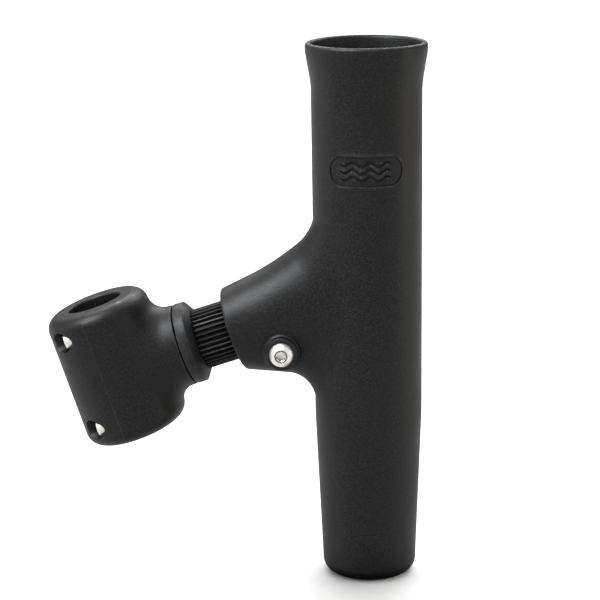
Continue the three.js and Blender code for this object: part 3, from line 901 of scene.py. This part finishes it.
def moulded_nylon():
    """Black glass-filled nylon with a fine spark texture, rubbed smoother and paler on its edges, the
    paleness partly wear and partly a painted highlight.
    Shade is painted dull black down in its holes and grooves, and its gloss fades at a glancing angle."""
    material, tree, shader = new_material("moulding")
    clouds = patches(tree, 30)
    grain = noise(tree, 0.55, 1)
    pits = noise(tree, 0.32, 1)
    colour = mix_colours(tree, clouds, NYLON_DARK, NYLON_PALE)
    flecks = remap(tree, grain, 0.44, 0.62, 0, 1)
    colour = mix_colours(tree, flecks, colour, NYLON_FLECK)
    # convex edges are lightened, partly as wear and partly as a painted highlight along rims, tooth edges
    # and the parting line
    wear_and_highlight = edge_wear_and_highlight(tree, 0.515, 0.58)
    colour = mix_colours(tree, times(tree, wear_and_highlight, 0.6), colour, NYLON_WORN_AND_HIGHLIGHT)
    # painted shade: ambient occlusion darkens the colour in holes, grooves and creases, and dims the gloss
    # there
    occlusion = node(tree, "AmbientOcclusion", {"Distance": 30 * MM}, output="AO", samples=6)
    unshaded_share = remap(tree, occlusion, 0.3, 0.75, 0, 1)
    colour = mix_colours(tree, unshaded_share, NYLON_PAINTED_SHADE, colour)
    tree.links.new(colour, shader["Base Color"])
    glancing = node(tree, "LayerWeight", {"Blend": 0.5}, output="Facing")
    gloss = times(tree, remap(tree, unshaded_share, 0, 1, 0.1, 1), remap(tree, glancing, 0.3, 0.9, 0.5, 0.08))
    tree.links.new(gloss, shader["Specular IOR Level"])
    rough = plus(tree, remap(tree, clouds, 0, 1, 0.43, 0.49), remap(tree, grain, 0.3, 0.7, -0.08, 0.08))
    tree.links.new(plus(tree, rough, times(tree, wear_and_highlight, -0.08)), shader["Roughness"])
    layers = [(noise(tree, 9, 2), 0.06), (grain, 0.05), (pits, 0.03)]
    tree.links.new(bumps(tree, layers), shader["Normal"])
    shader["IOR"].default_value = 1.25
    return material


def smooth_nylon(name, dark, light, translucence):
    """Nylon with fine scuffs and no moulded grain."""
    material, tree, shader = new_material(name)
    clouds = patches(tree, 2.5)
    colour = mix_colours(tree, clouds, dark, light)
    tree.links.new(colour, shader["Base Color"])
    scuffs = noise(tree, 0.4)
    tree.links.new(remap(tree, scuffs, 0.3, 0.7, 0.3, 0.48), shader["Roughness"])
    tree.links.new(bumps(tree, [(scuffs, 0.015)]), shader["Normal"])
    shader["IOR"].default_value = 1.3
    shader["Subsurface Weight"].default_value = translucence
    shader["Subsurface Scale"].default_value = 1 * MM
    return material


# painted shade: the dark colour that the metal's grooves and sockets are darkened to
RECESS_PAINTED_SHADE = (0.05, 0.045, 0.04)


def turned_metal(name, dark, light):
    """Bright metal with the fine rings that turning leaves round the piece's own axis, and shade painted
    dark into its grooves and sockets."""
    material, tree, shader = new_material(name)
    place = node(tree, "TexCoord", output="Object")
    rings = node(tree, "TexWave", {"Vector": place, "Scale": 0.5 / MM, "Distortion": 0.6, "Detail": 2.0},
                 output="Fac", wave_type="RINGS", rings_direction="Z")
    clouds = remap(tree, noise(tree, 1.2), 0.3, 0.7, 0, 1)
    colour = mix_colours(tree, clouds, dark, light)
    # painted shade: concave places, such as the hex socket and the groove round a head's face, are darkened
    pointiness = node(tree, "NewGeometry", output="Pointiness")
    painted_shade = remap(tree, pointiness, 0.44, 0.495, 0.95, 0)
    colour = mix_colours(tree, painted_shade, colour, RECESS_PAINTED_SHADE)
    tree.links.new(colour, shader["Base Color"])
    shader["Metallic"].default_value = 1
    rough = plus(tree, remap(tree, clouds, 0, 1, 0.38, 0.44), times(tree, rings, 0.05))
    tree.links.new(rough, shader["Roughness"])
    tree.links.new(bumps(tree, [(rings, 0.004), (noise(tree, 0.3), 0.006)]), shader["Normal"])
    return material


MATERIALS = {
    "moulding": moulded_nylon(),
    "washer_nylon": smooth_nylon("washer_nylon", (0.003, 0.003, 0.0035), (0.007, 0.007, 0.0075), 0),
    "lock_ring": smooth_nylon("lock_ring", (0.62, 0.63, 0.62), (0.76, 0.78, 0.78), 0.3),
    "stainless": turned_metal("stainless", (0.62, 0.58, 0.52), (0.72, 0.69, 0.63)),
    "insert_brass": turned_metal("insert_brass", (0.50, 0.35, 0.15), (0.66, 0.49, 0.24)),
}
SLOTS = {part["node"]: part["material_slot"] for part in frame["record"]["subparts"]}


def stand_in(piece, node_name):
    """Finishes a piece and shows it in place of a CAD node, on that node's body."""
    piece.name = piece.data.name = node_name + "_fine"
    piece.data.materials.clear()
    piece.data.materials.append(MATERIALS[SLOTS[node_name]])
    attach(piece, frame["nodes"][node_name]["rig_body"])
    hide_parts(node_name)


# ---- assembly ----
stand_in(rod_tube(), "rod_tube")
stand_in(stem(), "stem")
stand_in(clamp_body(), "clamp_body")
stand_in(clamp_cap(), "clamp_cap")

M4_PITCH = 0.7
QUARTER_INCH_PITCH = 1.27
CAP_WASHER_THICKNESS = 0.8
for number, (y, z) in enumerate(screw_places(), 1):
    washer = ring("washer", 4.5, SCREW_R + GAP, CAP_WASHER_THICKNESS)
    on_stem(washer, SCREW_SEAT_X - GAP, y, z)
    stand_in(washer, f"cap_washer_{number}")
    screw = socket_screw("screw", SCREW_R, 16, M4_PITCH, head_r=3.5, head_height=4, key=3)
    on_stem(screw, SCREW_SEAT_X - 2 * GAP - CAP_WASHER_THICKNESS, y, z)
    stand_in(screw, f"cap_screw_{number}")
    insert = threaded_insert("insert", INSERT_R, SCREW_R + GAP, M4_PITCH, INSERT_LENGTH)
    on_stem(insert, PARTING_X + GAP + INSERT_LENGTH, y, z)
    stand_in(insert, f"cap_insert_{number}")

STEM_WASHER_THICKNESS = 1.2
NUT_HEIGHT = 5.6
washer = ring("washer", STEM_WASHER_R, STEM_BOLT_R + GAP, STEM_WASHER_THICKNESS)
on_stem(washer, STEM_BOLT_SEAT_X - GAP)
stand_in(washer, "stem_bolt_washer")
bolt = socket_screw("bolt", STEM_BOLT_R, 41, QUARTER_INCH_PITCH, head_r=4.75, head_height=4.6, key=4.8)
on_stem(bolt, STEM_BOLT_SEAT_X - 2 * GAP - STEM_WASHER_THICKNESS)
stand_in(bolt, "stem_bolt")
nut = hex_nut("nut", NUT_FLATS, STEM_BOLT_R + GAP, QUARTER_INCH_PITCH, NUT_HEIGHT)
on_stem(nut, STEM_NUT_X + GAP + NUT_HEIGHT)
stand_in(nut, "stem_nut")

CROSS_WASHER_THICKNESS = 1.8
LOCK_RING_HEIGHT = 1.8
washer = ring("washer", 7.5, BOLT_R + GAP, CROSS_WASHER_THICKNESS, edge=0.35)
across(washer, -BOSS_HALF_WIDTH - GAP)
stand_in(washer, "cross_bolt_washer")
bolt = button_bolt("bolt", BOLT_R, 44, QUARTER_INCH_PITCH, head_r=5.5, head_height=3.4, key=4)
across(bolt, -BOSS_HALF_WIDTH - 2 * GAP - CROSS_WASHER_THICKNESS)
stand_in(bolt, "cross_bolt")
nut = hex_nut("nut", NUT_FLATS, BOLT_R + GAP, QUARTER_INCH_PITCH, NUT_HEIGHT)
across(nut, NUT_SEAT_Y + GAP + NUT_HEIGHT)
stand_in(nut, "cross_bolt_nut")
lock_ring = ring("ring", 4.8, BOLT_R + GAP, LOCK_RING_HEIGHT, edge=0.35)
across(lock_ring, NUT_SEAT_Y + 2 * GAP + NUT_HEIGHT + LOCK_RING_HEIGHT)
stand_in(lock_ring, "cross_nut_ring")


# ---- studio ----
COOL = (0.9, 0.94, 1.0)
WARM = (1.0, 0.92, 0.84)


def pale_floor():
    bpy.ops.mesh.primitive_plane_add(size=24, location=(0, 4, FOOT_Z * MM))
    floor = bpy.context.object
    floor.name = "floor"
    material, tree, shader = new_material("pale_floor")
    clouds = patches(tree, 400)
    colour = mix_colours(tree, clouds, (0.93, 0.93, 0.93), (0.95, 0.95, 0.95))
    tree.links.new(colour, shader["Base Color"])
    shader["Roughness"].default_value = 0.9
    shader["Specular IOR Level"].default_value = 0.1
    floor.data.materials.append(material)
    return floor


def soft_box(name, place, size, watts, colour=(1, 1, 1)):
    """An area light that size across in metres, facing the middle of the object. Returns its object."""
    light = bpy.data.lights.new(name, "AREA")
    light.shape = "RECTANGLE"
    light.size, light.size_y = size
    light.energy = watts
    light.color = colour
    lamp = new_object(name, light)
    lamp.location = place
    lamp.rotation_mode = "QUATERNION"
    aim = Vector((TUBE_X / 2, 0, 20)) * MM
    lamp.rotation_quaternion = (aim - lamp.location).to_track_quat("-Z", "Y")
    return lamp


def keep_off(lamp, piece):
    """Keeps a lamp's light off one piece."""
    left_out = bpy.data.collections.new(lamp.name + "_left_out")
    left_out.objects.link(piece)
    left_out.collection_objects[0].light_linking.link_state = "EXCLUDE"
    lamp.light_linking.receiver_collection = left_out


def studio_world(strength):
    world = bpy.data.worlds.new("studio")
    world.use_nodes = True
    background = world.node_tree.nodes["Background"].inputs
    background["Color"].default_value = (1, 1, 1, 1)
    background["Strength"].default_value = strength
    bpy.context.scene.world = world


def camera_at(azimuth, elevation, roll, distance, aim, focal_length):
    """Camera that looks at aim, from azimuth degrees round from -Y and elevation degrees up."""
    a, e = math.radians(azimuth), math.radians(elevation)
    back = Vector((math.sin(a) * math.cos(e), -math.cos(a) * math.cos(e), math.sin(e)))
    data = bpy.data.cameras.new("camera")
    data.sensor_width = 36
    data.lens = focal_length
    data.clip_start, data.clip_end = 0.05, 50
    camera = new_object("camera", data)
    camera.location = Vector(aim) * MM + back * distance * MM
    camera.rotation_mode = "QUATERNION"
    turn = (-back).to_track_quat("-Z", "Y")
    camera.rotation_quaternion = turn @ Matrix.Rotation(math.radians(-roll), 3, "Z").to_quaternion()
    bpy.context.scene.camera = camera


camera_at(azimuth=3.4, elevation=13.8, roll=0.8, distance=971, aim=(86.5, 0, 31.7), focal_length=125.4)
floor = pale_floor()
studio_world(0.7)
key = soft_box("key", (-0.85, -0.6, 1.6), (1.0, 1.0), 107, COOL)
keep_off(key, floor)  # so that the floor stays evenly pale
soft_box("fill", (1.4, -1.2, 0.9), (0.8, 1.4), 3)
soft_box("rim_left", (-1.4, 0.1, 0.2), (0.4, 0.8), 2.5, WARM)
soft_box("rim_right", (1.5, -0.1, 0.1), (0.4, 0.8), 6, WARM)
soft_box("back", (0.1, 1.5, 1.0), (1.6, 0.4), 22)
soft_box("ceiling", (0.1, 1.7, 3), (5, 5), 120)
bpy.context.scene.view_settings.view_transform = "Standard"
